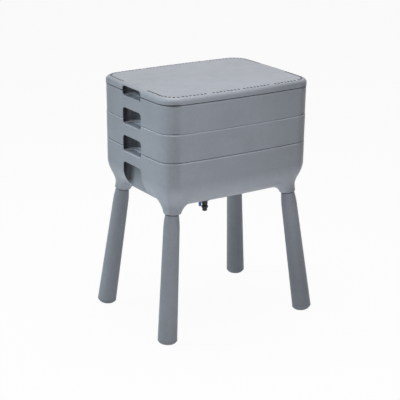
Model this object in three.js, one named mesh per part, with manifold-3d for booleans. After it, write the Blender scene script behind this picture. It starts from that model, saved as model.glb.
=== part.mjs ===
// A wormery: a lid and two working trays stacked on a sump base that stands on four splayed legs,
// with a drain tap under the middle of the base. Millimetres, +Z up, the origin on the floor under
// the middle of the stack, X along the long side. The hand-holds are in the two short sides.

import * as THREE from 'three';
import { mergeVertices } from 'three/addons/utils/BufferGeometryUtils.js';
import Module from 'manifold-3d';

const wasm = await Module();
wasm.setup();

// Plan of the stack
const lidHalfLength = 248;
const lidHalfWidth = 193;
const cornerRadius = 55;
const leastCornerRadius = 6;
const longSideBow = 8;
const shortSideBow = 4.4;
const lidOverhang = 1;
const baseSetback = 0.6;
const draftShare = 0.004;

// Heights of the stack
const collarHeight = 367;
const collarDrop = 12;
const baseDepth = 145;
const trayPitch = 80.5;
const lidDepth = 25;

// Walls, seats and cuts
const wall = 3;
const seatGap = 0.3;
const nestGap = 0.6;
const nestDepth = 14.5;
const overrun = 2;

// Hand-holds
const gripHalfWidth = 50;
const gripDepth = 33;
const gripFootDepth = 25;
const gripCornerRadius = 25;
const gripEdgeRadius = 9;
const rimNotchDepth = 13.2;
const gripReach = 34.5;
const baseStripDepth = 31;
const lidNotchHeight = 16.5;

// Tray floor
const trayHoleRadius = 4;
const trayHolePitchLong = 50;
const trayHolePitchWide = 54;
const trayHoleMargin = 24;

// Lid
const lidEdgeRadius = 11.5;
const lidCrown = 2.5;
const lidCrownShares = [0.6];
const lidLipWall = 2;
const lidLipDrop = 8;
const lidLipClear = 10;
const ventRadius = 2.7;
const ventInset = 14.5;
const ventPitch = 11.6;
const ventStartShares = [0.024, 0.302, 0.519];
const ventCounts = [8, 7, 11];

// Base
const baseEdgeRadius = 86;
const funnelRadius = 100;
const funnelDrop = 7;
const bossRadius = 28;
const outletGap = 0.5;

// Leg sockets
const collarRadius = 22.5;
const collarInsetLength = 48.5;
const collarInsetWidth = 53.5;
const splayShare = 0.105;
const socketSteepShare = 6;
const socketBlend = 25;
const socketReach = 14;
const socketRingShares = [0, 0.1, 0.25, 0.42, 0.6, 0.8, 1];
const spigotRadius = 16.4;
const spigotLength = 56;
const spigotGap = 0.4;
const socketWall = 3.4;

// Legs and foot caps
const legGap = 0.5;
const legTopRadius = 19;
const legNeckRadius = 23;
const legNeckLength = 42;
const legFootRadius = 28;
const legWall = 3;
const capHeight = 9;
const capEdgeRadius = 11;
const capPlugDepth = 14;
const capGap = 0.4;

// Tap body
const shankRadius = 10;
const shankSpare = 1.5;
const flangeRadius = 15;
const flangeThickness = 4;
const tapNeckRadius = 8.5;
const valveDrop = 32;
const valveRadius = 13;
const outletRadius = 8.6;
const outletDrop = 46;
const waistRadius = 6.6;
const waistDrop = 53.5;
const nozzleRadius = 7.4;
const nozzleDrop = 70.5;
const nozzleLip = 1.6;
const tapBoreRadius = 4.5;

// Tap seals, nut and hose collar
const washerWidth = 5;
const washerThickness = 1.7;
const nutRadius = 15.5;
const nutThickness = 7;
const threadGap = 0.3;
const hoseCollarRadius = 9.4;
const hoseCollarLength = 6.5;
const hoseCollarDrop = 62.5;
const hoseGripWidth = 1.6;
const hoseGripDepth = 0.6;
const hoseGrips = 12;

// Tap plug, spindle and lever
const plugRadius = 7;
const plugHalfLength = 9;
const plugGap = 0.3;
const sleeveWall = 3;
const bonnetThickness = 3.4;
const spindleRadius = 3.4;
const ringThickness = 1.5;
const leverThickness = 5;
const leverWidth = 9;
const leverHubRadius = 6.4;
const leverLength = 18.5;
const leverCapThickness = 1.2;

// Drain strainer
const strainerRadius = 23;
const strainerHeight = 17;
const strainerWall = 2;
const strainerSlotWidth = 2.6;
const strainerSlotMargin = 4;
const strainerSlots = 10;

// Facets on round things
const sideSteps = 3;
const cornerSteps = 5;
const edgeSteps = 3;
const baseEdgeSteps = 5;
const legSteps = 16;
const tapSteps = 16;
const holeSteps = 6;
const ventSteps = 5;
const nutSteps = 6;

// Levels and places that follow
const undersideHeight = collarHeight + collarDrop;
const baseRimHeight = undersideHeight + baseDepth;
const lidHeight = baseRimHeight + 2 * trayPitch;
const bossHeight = undersideHeight - funnelDrop;
const nestInset = wall + nestGap;
const collarX = lidHalfLength - collarInsetLength;
const collarY = lidHalfWidth - collarInsetWidth;
const legTilt = Math.atan(splayShare * Math.SQRT2);
const legLength = collarHeight / Math.cos(legTilt);
const socketBoreRadius = spigotRadius + spigotGap;
const valveEnd = plugHalfLength + ringThickness + bonnetThickness;
const leverFace = valveEnd + seatGap;

// Colours
const shellPlastic = { color: 0x8b939c, roughness: 0.62, metalness: 0 };
const legPlastic = { color: 0x767d87, roughness: 0.66, metalness: 0 };
const capPlastic = { color: 0x6d747d, roughness: 0.7, metalness: 0 };
const tapPlastic = { color: 0x17181a, roughness: 0.45, metalness: 0 };
const leverPlastic = { color: 0x2a55a5, roughness: 0.4, metalness: 0 };
const sealRubber = { color: 0x1c1c1c, roughness: 0.85, metalness: 0 };
const strainerPlastic = { color: 0x3c4046, roughness: 0.6, metalness: 0 };

// A closed geometry as a solid: corners merged, and the slivers at the poles of a turned shape left out
function solid(geometry) {
  const bare = geometry.clone();
  bare.deleteAttribute('normal');
  bare.deleteAttribute('uv');
  const merged = mergeVertices(bare);
  const index = merged.index.array;
  const triangles = [];
  for (let i = 0; i < index.length; i += 3) {
    const [a, b, c] = index.slice(i, i + 3);
    if (a !== b && b !== c && c !== a) triangles.push(a, b, c);
  }
  const vertProperties = Float32Array.from(merged.attributes.position.array);
  const triVerts = Uint32Array.from(triangles);
  return new wasm.Manifold(new wasm.Mesh({ numProp: 3, vertProperties, triVerts }));
}

// A solid as a named mesh in its own plastic
function piece(name, body, look) {
  const { vertProperties, triVerts } = body.getMesh();
  const geometry = new THREE.BufferGeometry();
  geometry.setAttribute('position', new THREE.BufferAttribute(vertProperties, 3));
  geometry.setIndex(new THREE.BufferAttribute(triVerts, 1));
  const mesh = new THREE.Mesh(geometry, new THREE.MeshStandardMaterial({ ...look, flatShading: true }));
  mesh.name = name;
  return mesh;
}

function moved(body, matrix) {
  return body.transform(matrix.elements);
}

function joined(bodies) {
  return bodies.reduce((sum, body) => sum.add(body));
}

// Something made for the +X side, and its copy turned to the -X side
function bothEnds(body) {
  return body.add(moved(body, new THREE.Matrix4().makeRotationZ(Math.PI)));
}

function arc(centre, radius, from, to, steps) {
  const points = [];
  for (let i = 0; i <= steps; i += 1) {
    const angle = THREE.MathUtils.lerp(from, to, i / steps);
    const x = centre.x + radius * Math.cos(angle);
    points.push(new THREE.Vector2(x, centre.y + radius * Math.sin(angle)));
  }
  return points;
}

// The plan outline, inset from the lid's edge: bowed sides with a tangent arc round each corner
function outline(inset) {
  const length = lidHalfLength - inset;
  const width = lidHalfWidth - inset;
  const radius = Math.max(cornerRadius - inset, leastCornerRadius);
  const longArc = (length ** 2 + longSideBow ** 2) / (2 * longSideBow);
  const shortArc = (width ** 2 + shortSideBow ** 2) / (2 * shortSideBow);
  const longCentre = new THREE.Vector2(0, width - longArc);
  const shortCentre = new THREE.Vector2(length - shortArc, 0);
  const apart = shortCentre.clone().sub(longCentre);
  const reachLong = longArc - radius;
  const reachShort = shortArc - radius;
  const along = (reachLong ** 2 - reachShort ** 2 + apart.lengthSq()) / (2 * apart.length());
  const aside = Math.sqrt(reachLong ** 2 - along ** 2);
  const unit = apart.normalize();
  const corner = longCentre.clone().addScaledVector(unit, along);
  corner.addScaledVector(new THREE.Vector2(unit.y, -unit.x), aside);
  const turnShort = corner.clone().sub(shortCentre).angle();
  const turnLong = corner.clone().sub(longCentre).angle();
  const quarter = [
    ...arc(shortCentre, shortArc, 0, turnShort, sideSteps).slice(0, -1),
    ...arc(corner, radius, turnShort, turnLong, cornerSteps).slice(0, -1),
    ...arc(longCentre, longArc, turnLong, Math.PI / 2, sideSteps),
  ];
  const back = [...quarter].reverse();
  const mirrored = (points, x, y) => points.map((p) => new THREE.Vector2(p.x * x, p.y * y));
  const quarters = [quarter, mirrored(back, -1, 1), mirrored(quarter, -1, -1), mirrored(back, 1, -1)];
  return quarters.flatMap((points) => points.slice(0, -1));
}

// A plan outline lifted to a height
function level(points, height) {
  return points.map((p) => new THREE.Vector3(p.x, p.y, height));
}

// A closed solid through stacked rings of equally many points, with a fan over each end
function loft(rings) {
  const count = rings[0].length;
  const points = rings.flat();
  const index = [];
  for (let from = 0; from + count < points.length; from += count) {
    for (let i = 0; i < count; i += 1) {
      const a = from + i;
      const b = from + ((i + 1) % count);
      index.push(a, b, b + count, a, b + count, a + count);
    }
  }
  const middleOf = (ring) => ring.reduce((sum, p) => sum.add(p), new THREE.Vector3()).divideScalar(count);
  const foot = points.push(middleOf(rings[0])) - 1;
  const head = points.push(middleOf(rings.at(-1))) - 1;
  for (let i = 0; i < count; i += 1) {
    const next = (i + 1) % count;
    index.push(foot, next, i, head, foot - count + i, foot - count + next);
  }
  const geometry = new THREE.BufferGeometry().setFromPoints(points);
  geometry.setIndex(index);
  return solid(geometry);
}

// A straight prism of the plan outline
function slab(inset, from, to) {
  const points = outline(inset);
  return loft([level(points, from), level(points, to)]);
}

// Radius and height pairs turned about Z, drawn from the foot up the outer side
function turned(profile, steps) {
  const points = profile.map(([radius, height]) => new THREE.Vector2(radius, height));
  const geometry = new THREE.LatheGeometry(points, steps);
  geometry.rotateX(Math.PI / 2);
  return solid(geometry);
}

function rod(radius, from, to, steps) {
  return turned([[0, from], [radius, from], [radius, to], [0, to]], steps);
}

function tube(inner, outer, from, to, steps) {
  return turned([[inner, from], [outer, from], [outer, to], [inner, to], [inner, from]], steps);
}

// A box between two corners
function block(low, high) {
  const size = high.map((value, i) => value - low[i]);
  const middle = high.map((value, i) => (value + low[i]) / 2);
  return solid(new THREE.BoxGeometry(...size)).translate(middle);
}

// A shape turned about Z, laid over so that its height runs along -X
function laidAlongX(body) {
  return moved(body, new THREE.Matrix4().makeRotationY(-Math.PI / 2));
}

// The plan of a hand-hold recess, grown by a wall on its three inner sides
function gripPlan(depth, grow) {
  const front = lidHalfLength + overrun;
  const side = gripHalfWidth + grow;
  const radius = gripCornerRadius + grow;
  const x = lidHalfLength - lidOverhang - depth - grow + radius;
  const y = side - radius;
  return [
    new THREE.Vector2(front, -side),
    new THREE.Vector2(front, side),
    ...arc({ x, y }, radius, Math.PI / 2, Math.PI, cornerSteps),
    ...arc({ x, y: -y }, radius, Math.PI, 1.5 * Math.PI, cornerSteps),
  ];
}

function grips(grow, from, to, footDepth = gripDepth) {
  return bothEnds(loft([level(gripPlan(footDepth, grow), from), level(gripPlan(gripDepth, grow), to)]));
}

// The recess behind the outer wall, which the wall still covers
function gripHollow(inset, from, to, footDepth = gripDepth) {
  return grips(0, from, to, footDepth).intersect(slab(inset + wall, from - overrun, to + overrun));
}

// A hand opening through both short walls, from its square end to its end with rounded corners
function gripOpenings(square, rounded) {
  const up = Math.sign(rounded - square);
  const turn = rounded - up * gripEdgeRadius;
  const inner = gripHalfWidth - gripEdgeRadius;
  const shape = new THREE.Shape([
    new THREE.Vector2(gripHalfWidth, square),
    ...arc({ x: inner, y: turn }, gripEdgeRadius, 0, (up * Math.PI) / 2, cornerSteps),
    ...arc({ x: -inner, y: turn }, gripEdgeRadius, (up * Math.PI) / 2, up * Math.PI, cornerSteps),
    new THREE.Vector2(-gripHalfWidth, square),
  ]);
  const depth = 2 * (wall + lidOverhang + overrun) + shortSideBow;
  const geometry = new THREE.ExtrudeGeometry(shape, { depth, bevelEnabled: false });
  const upright = new THREE.Matrix4().set(0, 0, 1, 0, 1, 0, 0, 0, 0, 1, 0, 0, 0, 0, 0, 1);
  geometry.applyMatrix4(upright);
  return bothEnds(solid(geometry).translate([lidHalfLength + overrun - depth, 0, 0]));
}

// A grid of holes, the same in all four quarters
function trayHoles() {
  const drill = rod(trayHoleRadius, -nestDepth - overrun, wall - nestDepth + overrun, holeSteps);
  const endX = lidHalfLength - gripDepth - trayHoleMargin;
  const endY = lidHalfWidth - trayHoleMargin;
  const holes = [];
  for (let x = trayHolePitchLong / 2; x < endX; x += trayHolePitchLong) {
    for (let y = trayHolePitchWide / 2; y < endY; y += trayHolePitchWide) {
      for (const [sideX, sideY] of [[1, 1], [1, -1], [-1, 1], [-1, -1]]) {
        holes.push(drill.translate([x * sideX, y * sideY, 0]));
      }
    }
  }
  return joined(holes);
}

// A tray, drawn from the rim that it stands on: a bowed band with a nesting foot below it, hand-hold
// recesses in its short sides and a perforated floor
function tray() {
  const top = lidOverhang;
  const foot = lidOverhang + draftShare * trayPitch;
  const nest = foot + nestInset;
  const webTop = trayPitch - rimNotchDepth;
  const above = trayPitch + overrun;
  const below = -nestDepth - overrun;
  const band = loft([level(outline(foot), seatGap), level(outline(top), trayPitch)]);
  const nestFoot = slab(nest, -nestDepth, seatGap + wall / 2).subtract(grips(nestInset, below, above));
  const ledge = seatGap + wall;
  const bandRoom = loft([level(outline(foot + wall), ledge), level(outline(top + wall), above)]);
  const nestRoom = slab(nest + wall, wall - nestDepth, ledge + overrun);
  return band
    .subtract(gripHollow(foot, below, webTop - wall))
    .subtract(gripOpenings(below, gripReach))
    .add(nestFoot)
    .subtract(gripHollow(top, webTop, above))
    .subtract(gripOpenings(above, webTop))
    .subtract(bandRoom.subtract(grips(wall, below, above + overrun)))
    .subtract(nestRoom.subtract(grips(nestInset + wall, below, above)))
    .subtract(trayHoles());
}

// The lid's surface, or the one a wall's thickness under it: a quarter-round edge and a shallow crown
function lidRings(depth, foot) {
  const radius = lidEdgeRadius - depth;
  const spring = lidDepth - lidCrown - lidEdgeRadius;
  const rings = [level(outline(depth), foot)];
  for (let i = 0; i <= edgeSteps; i += 1) {
    const angle = (i / edgeSteps) * (Math.PI / 2);
    const inset = depth + radius * (1 - Math.cos(angle));
    rings.push(level(outline(inset), spring + radius * Math.sin(angle)));
  }
  const edge = rings.at(-1);
  for (const share of lidCrownShares) {
    const points = edge.map((p) => p.clone().multiplyScalar(share));
    rings.push(level(points, edge[0].z + lidCrown * (1 - share ** 2)));
  }
  return rings;
}

// Vents in rows along one inset line, the same in all four quarters
function lidVents() {
  const corners = outline(ventInset).map((p) => new THREE.Vector3(p.x, p.y, 0));
  const quarter = corners.slice(0, corners.length / 4 + 1).reverse();
  const path = new THREE.CurvePath();
  for (let i = 0; i + 1 < quarter.length; i += 1) path.add(new THREE.LineCurve3(quarter[i], quarter[i + 1]));
  const drill = rod(ventRadius, lidDepth - lidCrown - lidEdgeRadius, lidDepth + overrun, ventSteps);
  const holes = [];
  ventStartShares.forEach((startShare, row) => {
    for (let i = 0; i < ventCounts[row]; i += 1) {
      const { x, y } = path.getPointAt(startShare + (i * ventPitch) / path.getLength());
      for (const [sideX, sideY] of [[1, 1], [1, -1], [-1, 1], [-1, -1]]) {
        holes.push(drill.translate([x * sideX, y * sideY, 0]));
      }
    }
  });
  return joined(holes);
}

// The lid, drawn from the rim that it stands on: a crowned shell with a hand notch in each short side,
// a pocket wall behind each notch and a lip that drops inside the tray
function lid() {
  const outer = loft(lidRings(0, seatGap));
  const inner = loft(lidRings(wall, -overrun));
  const pockets = grips(wall, seatGap, lidDepth).subtract(grips(0, -overrun, lidDepth + overrun));
  const lipInset = lidOverhang + wall + nestGap;
  const lipHeight = lidDepth - lidCrown - wall / 2;
  const lipBore = slab(lipInset + lidLipWall, -lidLipDrop - overrun, lidDepth);
  const clear = gripHalfWidth + lidLipClear;
  const gripRoom = block(
    [-lidHalfLength, -clear, -lidLipDrop - overrun],
    [lidHalfLength, clear, lidDepth],
  );
  const lip = slab(lipInset, -lidLipDrop, lipHeight).subtract(lipBore).subtract(gripRoom);
  const roof = loft(lidRings(0, -lidLipDrop - overrun));
  return outer
    .subtract(inner)
    .add(pockets.intersect(outer))
    .add(lip.intersect(roof))
    .subtract(gripOpenings(-overrun, lidNotchHeight))
    .subtract(lidVents());
}

// The base's outer surface, or the one a wall's thickness inside it, up to a height
function baseRings(depth, top) {
  const foot = lidOverhang + baseSetback + draftShare * baseDepth;
  const radius = baseEdgeRadius - depth;
  const rings = [];
  for (let i = baseEdgeSteps; i >= 0; i -= 1) {
    const angle = (i / baseEdgeSteps) * (Math.PI / 2);
    const points = outline(foot + baseEdgeRadius - radius * Math.cos(angle));
    rings.push(level(points, undersideHeight + baseEdgeRadius - radius * Math.sin(angle)));
  }
  const rim = lidOverhang + baseSetback;
  rings.push(level(outline(rim + depth), top));
  return rings;
}

// A shallow funnel round the outlet boss, its surface at a height above the boss's underside
function funnel(rise, top) {
  const low = bossHeight + rise;
  return turned(
    [[0, low], [bossRadius, low], [funnelRadius, undersideHeight + rise], [funnelRadius, top], [0, top]],
    2 * legSteps,
  );
}

// Where a leg stands: its frame's Z runs up the leg's axis from the collar's lower face
function legFrame(sideX, sideY) {
  const heading = Math.atan2(sideY, sideX);
  return new THREE.Matrix4()
    .makeTranslation(collarX * sideX, collarY * sideY, collarHeight)
    .multiply(new THREE.Matrix4().makeRotationZ(heading))
    .multiply(new THREE.Matrix4().makeRotationY(-legTilt));
}

const corners = {
  front_left: [-1, -1],
  front_right: [1, -1],
  back_left: [-1, 1],
  back_right: [1, 1],
};

// How high the base's rounded underside lies over a point of the plan
function undersideAt(point, edge) {
  const nearest = new THREE.Vector3();
  const gaps = edge.map((start, i) => {
    const side = new THREE.Line3(start, edge[(i + 1) % edge.length]);
    return side.closestPointToPoint(point, true, nearest).distanceTo(point);
  });
  const short = Math.max(baseEdgeRadius - Math.min(...gaps), 0);
  return undersideHeight + baseEdgeRadius - Math.sqrt(baseEdgeRadius ** 2 - short ** 2);
}

// The lower of two heights, with the crease between them filled over a blend
function blended(a, b) {
  const near = Math.max(socketBlend - Math.abs(a - b), 0) / socketBlend;
  return Math.min(a, b) - (near ** 2 * socketBlend) / 4;
}

// A leg socket under one corner: a steep collar that flows into the underside and the rounded wall
function socketFlare(sideX, sideY, edge) {
  const rings = socketRingShares.map((share) => {
    const radius = collarRadius + share * socketReach;
    const ring = [];
    for (let i = 0; i < legSteps; i += 1) {
      const angle = (i / legSteps) * 2 * Math.PI;
      const place = new THREE.Vector3(collarX * sideX, collarY * sideY, 0);
      place.x += radius * Math.cos(angle) - splayShare * collarDrop * share * sideX;
      place.y += radius * Math.sin(angle) - splayShare * collarDrop * share * sideY;
      const plain = undersideAt(place, edge);
      const steep = collarHeight + socketSteepShare * (radius - collarRadius);
      place.z = share < 1 ? blended(plain, steep) : plain + wall / 2;
      ring.push(place);
    }
    return ring;
  });
  const drop = collarRadius * Math.tan(legTilt) + overrun;
  const lip = rings[0].map((p) => new THREE.Vector3(p.x, p.y, collarHeight - drop));
  return loft([lip, ...rings]);
}

function socketFlares() {
  const foot = lidOverhang + baseSetback + draftShare * baseDepth;
  const edge = level(outline(foot), 0);
  const within = slab(foot, collarHeight - collarRadius, undersideHeight + baseEdgeRadius);
  const flares = Object.values(corners).map(([sideX, sideY]) => socketFlare(sideX, sideY, edge));
  return joined(flares).intersect(within);
}

// The base: a round-bottomed sump with sockets for the legs, hand-hold recesses and a funnel to its outlet
function base() {
  const webTop = baseRimHeight - rimNotchDepth;
  const above = baseRimHeight + overrun;
  const below = bossHeight - overrun;
  const inset = lidOverhang + baseSetback;
  const outer = loft(baseRings(0, baseRimHeight)).add(funnel(0, undersideHeight + wall / 2));
  const inner = loft(baseRings(wall, above)).add(funnel(wall, undersideHeight + wall + overrun));
  const room = inner.subtract(grips(wall, below, above + overrun, gripFootDepth));
  const cup = rod(socketBoreRadius + socketWall, collarDrop, spigotLength + socketWall, legSteps);
  const bore = rod(socketBoreRadius, -overrun, spigotLength + spigotGap, legSteps);
  const reach = 2 * collarRadius;
  const under = block([-reach, -reach, -collarRadius], [reach, reach, 0]);
  const each = (body) => joined(Object.values(corners).map(([x, y]) => moved(body, legFrame(x, y))));
  const outlet = rod(shankRadius + outletGap, below, bossHeight + wall + overrun, tapSteps);
  return outer
    .add(socketFlares())
    .subtract(room)
    .add(each(cup).intersect(outer))
    .subtract(each(bore.add(under)))
    .subtract(gripHollow(inset, below, webTop - wall, gripFootDepth))
    .subtract(gripOpenings(below, webTop - baseStripDepth))
    .subtract(gripHollow(inset, webTop, above))
    .subtract(gripOpenings(above, webTop))
    .subtract(outlet);
}

// A leg in its own frame: a spigot above the collar's face, a slim neck and a tapered hollow shaft
function leg() {
  const end = capHeight - legLength;
  const taper = (legFootRadius - legNeckRadius) / (legLength - legNeckLength);
  const endRadius = legFootRadius - taper * capHeight;
  const bore = spigotRadius - legWall;
  return turned(
    [
      [endRadius - legWall, end],
      [endRadius, end],
      [legNeckRadius, -legNeckLength],
      [legTopRadius, -legGap],
      [spigotRadius, -legGap],
      [spigotRadius, spigotLength],
      [0, spigotLength],
      [0, spigotLength - legWall],
      [bore, spigotLength - legWall],
      [bore, -legGap - legWall],
      [legNeckRadius - legWall, -legNeckLength],
      [endRadius - legWall, end],
    ],
    legSteps,
  );
}

// A foot cap in the leg's frame: a plug inside the shaft and a rounded foot, cut level with the floor
function footCap() {
  const top = capHeight - legLength - seatGap;
  const taper = (legFootRadius - legNeckRadius) / (legLength - legNeckLength);
  const radius = legFootRadius - taper * capHeight;
  const plug = radius - legWall - capGap;
  const low = -legLength - capEdgeRadius / 2;
  const profile = [[0, low], [radius - capEdgeRadius, low]];
  for (let i = 1; i <= edgeSteps; i += 1) {
    const angle = (i / edgeSteps) * (Math.PI / 2);
    const out = radius - capEdgeRadius * (1 - Math.sin(angle));
    profile.push([out, low + capEdgeRadius * (1 - Math.cos(angle))]);
  }
  profile.push([radius, top], [plug, top], [plug, top + capPlugDepth], [plug - legWall, top + capPlugDepth]);
  profile.push([plug - legWall, top - seatGap], [0, top - seatGap]);
  const tilt = new THREE.Matrix4().makeRotationY(-legTilt);
  const reach = 2 * legFootRadius + legLength * Math.sin(legTilt);
  const floor = block([-reach, -reach, -collarHeight - legFootRadius], [reach, reach, -collarHeight]);
  return moved(moved(turned(profile, legSteps), tilt).subtract(floor), tilt.invert());
}

// The tap's body, drawn from the boss's underside: shank, flange, neck, round valve, waist and nozzle
function tapBody() {
  const shankTop = wall + washerThickness + nutThickness + 2 * seatGap + shankSpare;
  const flangeTop = -seatGap - washerThickness - seatGap;
  const flangeFoot = flangeTop - flangeThickness;
  const outside = [[tapBoreRadius, -nozzleDrop], [nozzleRadius, -nozzleDrop]];
  outside.push([nozzleRadius, -hoseCollarDrop - nozzleLip], [waistRadius, -hoseCollarDrop]);
  outside.push([waistRadius, -waistDrop], [outletRadius, -outletDrop - nozzleLip]);
  outside.push([outletRadius, -outletDrop]);
  for (let i = 1; i < 2 * edgeSteps; i += 1) {
    const angle = Math.PI * (i / (2 * edgeSteps) - 0.5);
    const radius = Math.max(valveRadius * Math.cos(angle), tapNeckRadius);
    outside.push([radius, -valveDrop + valveRadius * Math.sin(angle)]);
  }
  outside.push([tapNeckRadius, flangeFoot], [flangeRadius, flangeFoot], [flangeRadius, flangeTop]);
  outside.push([shankRadius, flangeTop], [shankRadius, shankTop], [tapBoreRadius, shankTop]);
  outside.push([tapBoreRadius, -nozzleDrop]);
  const sleeve = plugRadius + plugGap + sleeveWall;
  const back = -plugHalfLength - plugGap;
  const barrel = laidAlongX(rod(sleeve, back - sleeveWall, valveEnd, tapSteps));
  const cavity = laidAlongX(rod(plugRadius + plugGap, back, valveEnd + overrun, tapSteps));
  const bore = rod(tapBoreRadius, -valveDrop - sleeve - overrun, -valveDrop + sleeve + overrun, tapSteps);
  return turned(outside, tapSteps)
    .add(barrel.translate([0, 0, -valveDrop]))
    .subtract(bore)
    .subtract(cavity.translate([0, 0, -valveDrop]));
}

// The plug about its own axis, laid along X: a drilled barrel and the spindle that carries the lever
function tapPlug() {
  const spindleEnd = leverFace + leverThickness;
  const shoulder = plugHalfLength - plugGap;
  const profile = [[0, -plugHalfLength], [plugRadius, -plugHalfLength], [plugRadius, shoulder]];
  profile.push([spindleRadius, shoulder], [spindleRadius, spindleEnd], [0, spindleEnd]);
  const drill = rod(tapBoreRadius, -plugRadius - overrun, plugRadius + overrun, tapSteps);
  return laidAlongX(turned(profile, tapSteps)).subtract(drill);
}

// The lever on the spindle's end: a round hub with a flat arm that hangs along the flow
function tapLever() {
  const face = leverFace;
  const outerFace = face + leverThickness;
  const hub = laidAlongX(rod(leverHubRadius, face, outerFace + leverCapThickness, tapSteps));
  const tip = laidAlongX(rod(leverWidth / 2, face, outerFace, tapSteps)).translate([0, 0, -leverLength]);
  const arm = block([-outerFace, -leverWidth / 2, -leverLength], [-face, leverWidth / 2, 0]);
  const socket = laidAlongX(rod(spindleRadius + threadGap, face - overrun, outerFace + threadGap, tapSteps));
  return hub.add(tip).add(arm).subtract(socket);
}

// A ring on the waist above the nozzle, with upright grips round it
function hoseCollar() {
  const from = -(hoseCollarDrop + waistDrop + hoseCollarLength) / 2;
  const to = from + hoseCollarLength;
  const half = hoseGripWidth / 2;
  const grip = block([waistRadius + wall / 2, -half, from], [hoseCollarRadius + hoseGripDepth, half, to]);
  const around = [];
  for (let i = 0; i < hoseGrips; i += 1) {
    around.push(moved(grip, new THREE.Matrix4().makeRotationZ((i / hoseGrips) * 2 * Math.PI)));
  }
  return tube(waistRadius + threadGap, hoseCollarRadius, from, to, 2 * hoseGrips).add(joined(around));
}

// A slotted cap over the outlet, standing on the funnel's flat middle
function strainer() {
  const low = wall + seatGap;
  const high = low + strainerHeight;
  const inside = strainerRadius - strainerWall;
  const profile = [[inside, low], [strainerRadius, low], [strainerRadius, high], [0, high]];
  profile.push([0, high - strainerWall], [inside, high - strainerWall], [inside, low]);
  const slotFrom = low + strainerSlotMargin;
  const slotTo = high - strainerSlotMargin;
  const half = strainerSlotWidth / 2;
  const slot = block([inside - overrun, -half, slotFrom], [strainerRadius + overrun, half, slotTo]);
  const slots = [];
  for (let i = 0; i < strainerSlots; i += 1) {
    slots.push(moved(slot, new THREE.Matrix4().makeRotationZ((i / strainerSlots) * 2 * Math.PI)));
  }
  return turned(profile, 2 * strainerSlots).subtract(joined(slots));
}

const wormery = new THREE.Group();

const trayBody = tray();
for (const [name, height] of [['lower_tray', baseRimHeight], ['upper_tray', baseRimHeight + trayPitch]]) {
  const mesh = piece(name, trayBody, shellPlastic);
  mesh.position.z = height;
  wormery.add(mesh);
}

const lidMesh = piece('lid', lid(), shellPlastic);
lidMesh.position.z = lidHeight;
wormery.add(lidMesh, piece('base_bin', base(), shellPlastic));

const legBody = leg();
const capBody = footCap();
for (const [name, [sideX, sideY]] of Object.entries(corners)) {
  const stand = new THREE.Group();
  stand.applyMatrix4(legFrame(sideX, sideY));
  stand.add(piece(`leg_${name}`, legBody, legPlastic), piece(`cap_${name}`, capBody, capPlastic));
  wormery.add(stand);
}

const tap = new THREE.Group();
tap.position.z = bossHeight;
const washerRadius = shankRadius + threadGap;
const washerTop = wall + seatGap + washerThickness;
const nutFoot = washerTop + seatGap;
const washer = tube(washerRadius, washerRadius + washerWidth, 0, washerThickness, tapSteps);
const outerWasher = washer.translate([0, 0, -seatGap - washerThickness]);
const innerWasher = washer.translate([0, 0, wall + seatGap]);
const nutBlank = rod(nutRadius, nutFoot, nutFoot + nutThickness, nutSteps);
const nutBore = rod(shankRadius + threadGap, nutFoot - overrun, nutFoot + nutThickness + overrun, tapSteps);
tap.add(piece('tap_body', tapBody(), tapPlastic));
tap.add(piece('tap_washer_outer', outerWasher, sealRubber));
tap.add(piece('tap_washer_inner', innerWasher, sealRubber));
tap.add(piece('tap_back_nut', nutBlank.subtract(nutBore), tapPlastic));
tap.add(piece('tap_hose_collar', hoseCollar(), tapPlastic));
tap.add(piece('drain_strainer', strainer(), strainerPlastic));

const valve = new THREE.Group();
valve.position.z = -valveDrop;
const bonnetFrom = valveEnd - bonnetThickness;
const bonnet = tube(spindleRadius + plugGap, plugRadius, bonnetFrom + seatGap, valveEnd, tapSteps);
const ringBore = spindleRadius + plugGap;
const ring = tube(ringBore, ringBore + ringThickness, plugHalfLength, bonnetFrom, tapSteps);
valve.add(piece('tap_plug', tapPlug(), tapPlastic));
valve.add(piece('tap_bonnet', laidAlongX(bonnet), tapPlastic));
valve.add(piece('tap_spindle_ring', laidAlongX(ring), sealRubber));
valve.add(piece('tap_handle', tapLever(), leverPlastic));
tap.add(valve);
wormery.add(tap);

export default wormery;
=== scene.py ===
"""A worm composter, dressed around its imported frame: shells, legs and tap, their plastics, a pale floor
and a soft studio. Metres, +Z up, X along the long side, the hand-holds at -X and +X."""

from math import atan, atan2, cos, pi, radians, sin, sqrt, tan

import bmesh
import bpy
import numpy as np
from mathutils import Matrix, Vector


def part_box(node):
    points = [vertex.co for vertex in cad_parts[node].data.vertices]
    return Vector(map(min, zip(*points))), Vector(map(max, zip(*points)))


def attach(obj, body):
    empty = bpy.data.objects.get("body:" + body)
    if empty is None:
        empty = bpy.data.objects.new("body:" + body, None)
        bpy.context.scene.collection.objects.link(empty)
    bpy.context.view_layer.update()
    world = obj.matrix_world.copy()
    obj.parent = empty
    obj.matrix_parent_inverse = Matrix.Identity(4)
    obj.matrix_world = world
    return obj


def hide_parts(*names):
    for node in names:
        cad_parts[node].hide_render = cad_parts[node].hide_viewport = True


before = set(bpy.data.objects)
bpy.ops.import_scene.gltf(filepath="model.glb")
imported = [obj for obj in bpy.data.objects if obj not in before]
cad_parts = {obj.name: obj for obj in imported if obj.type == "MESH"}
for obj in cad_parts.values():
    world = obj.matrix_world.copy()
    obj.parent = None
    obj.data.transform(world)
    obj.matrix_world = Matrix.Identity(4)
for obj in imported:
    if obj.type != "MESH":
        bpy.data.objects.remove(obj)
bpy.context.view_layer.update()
bpy.ops.object.select_all(action="DESELECT")

MM = 0.001

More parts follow.
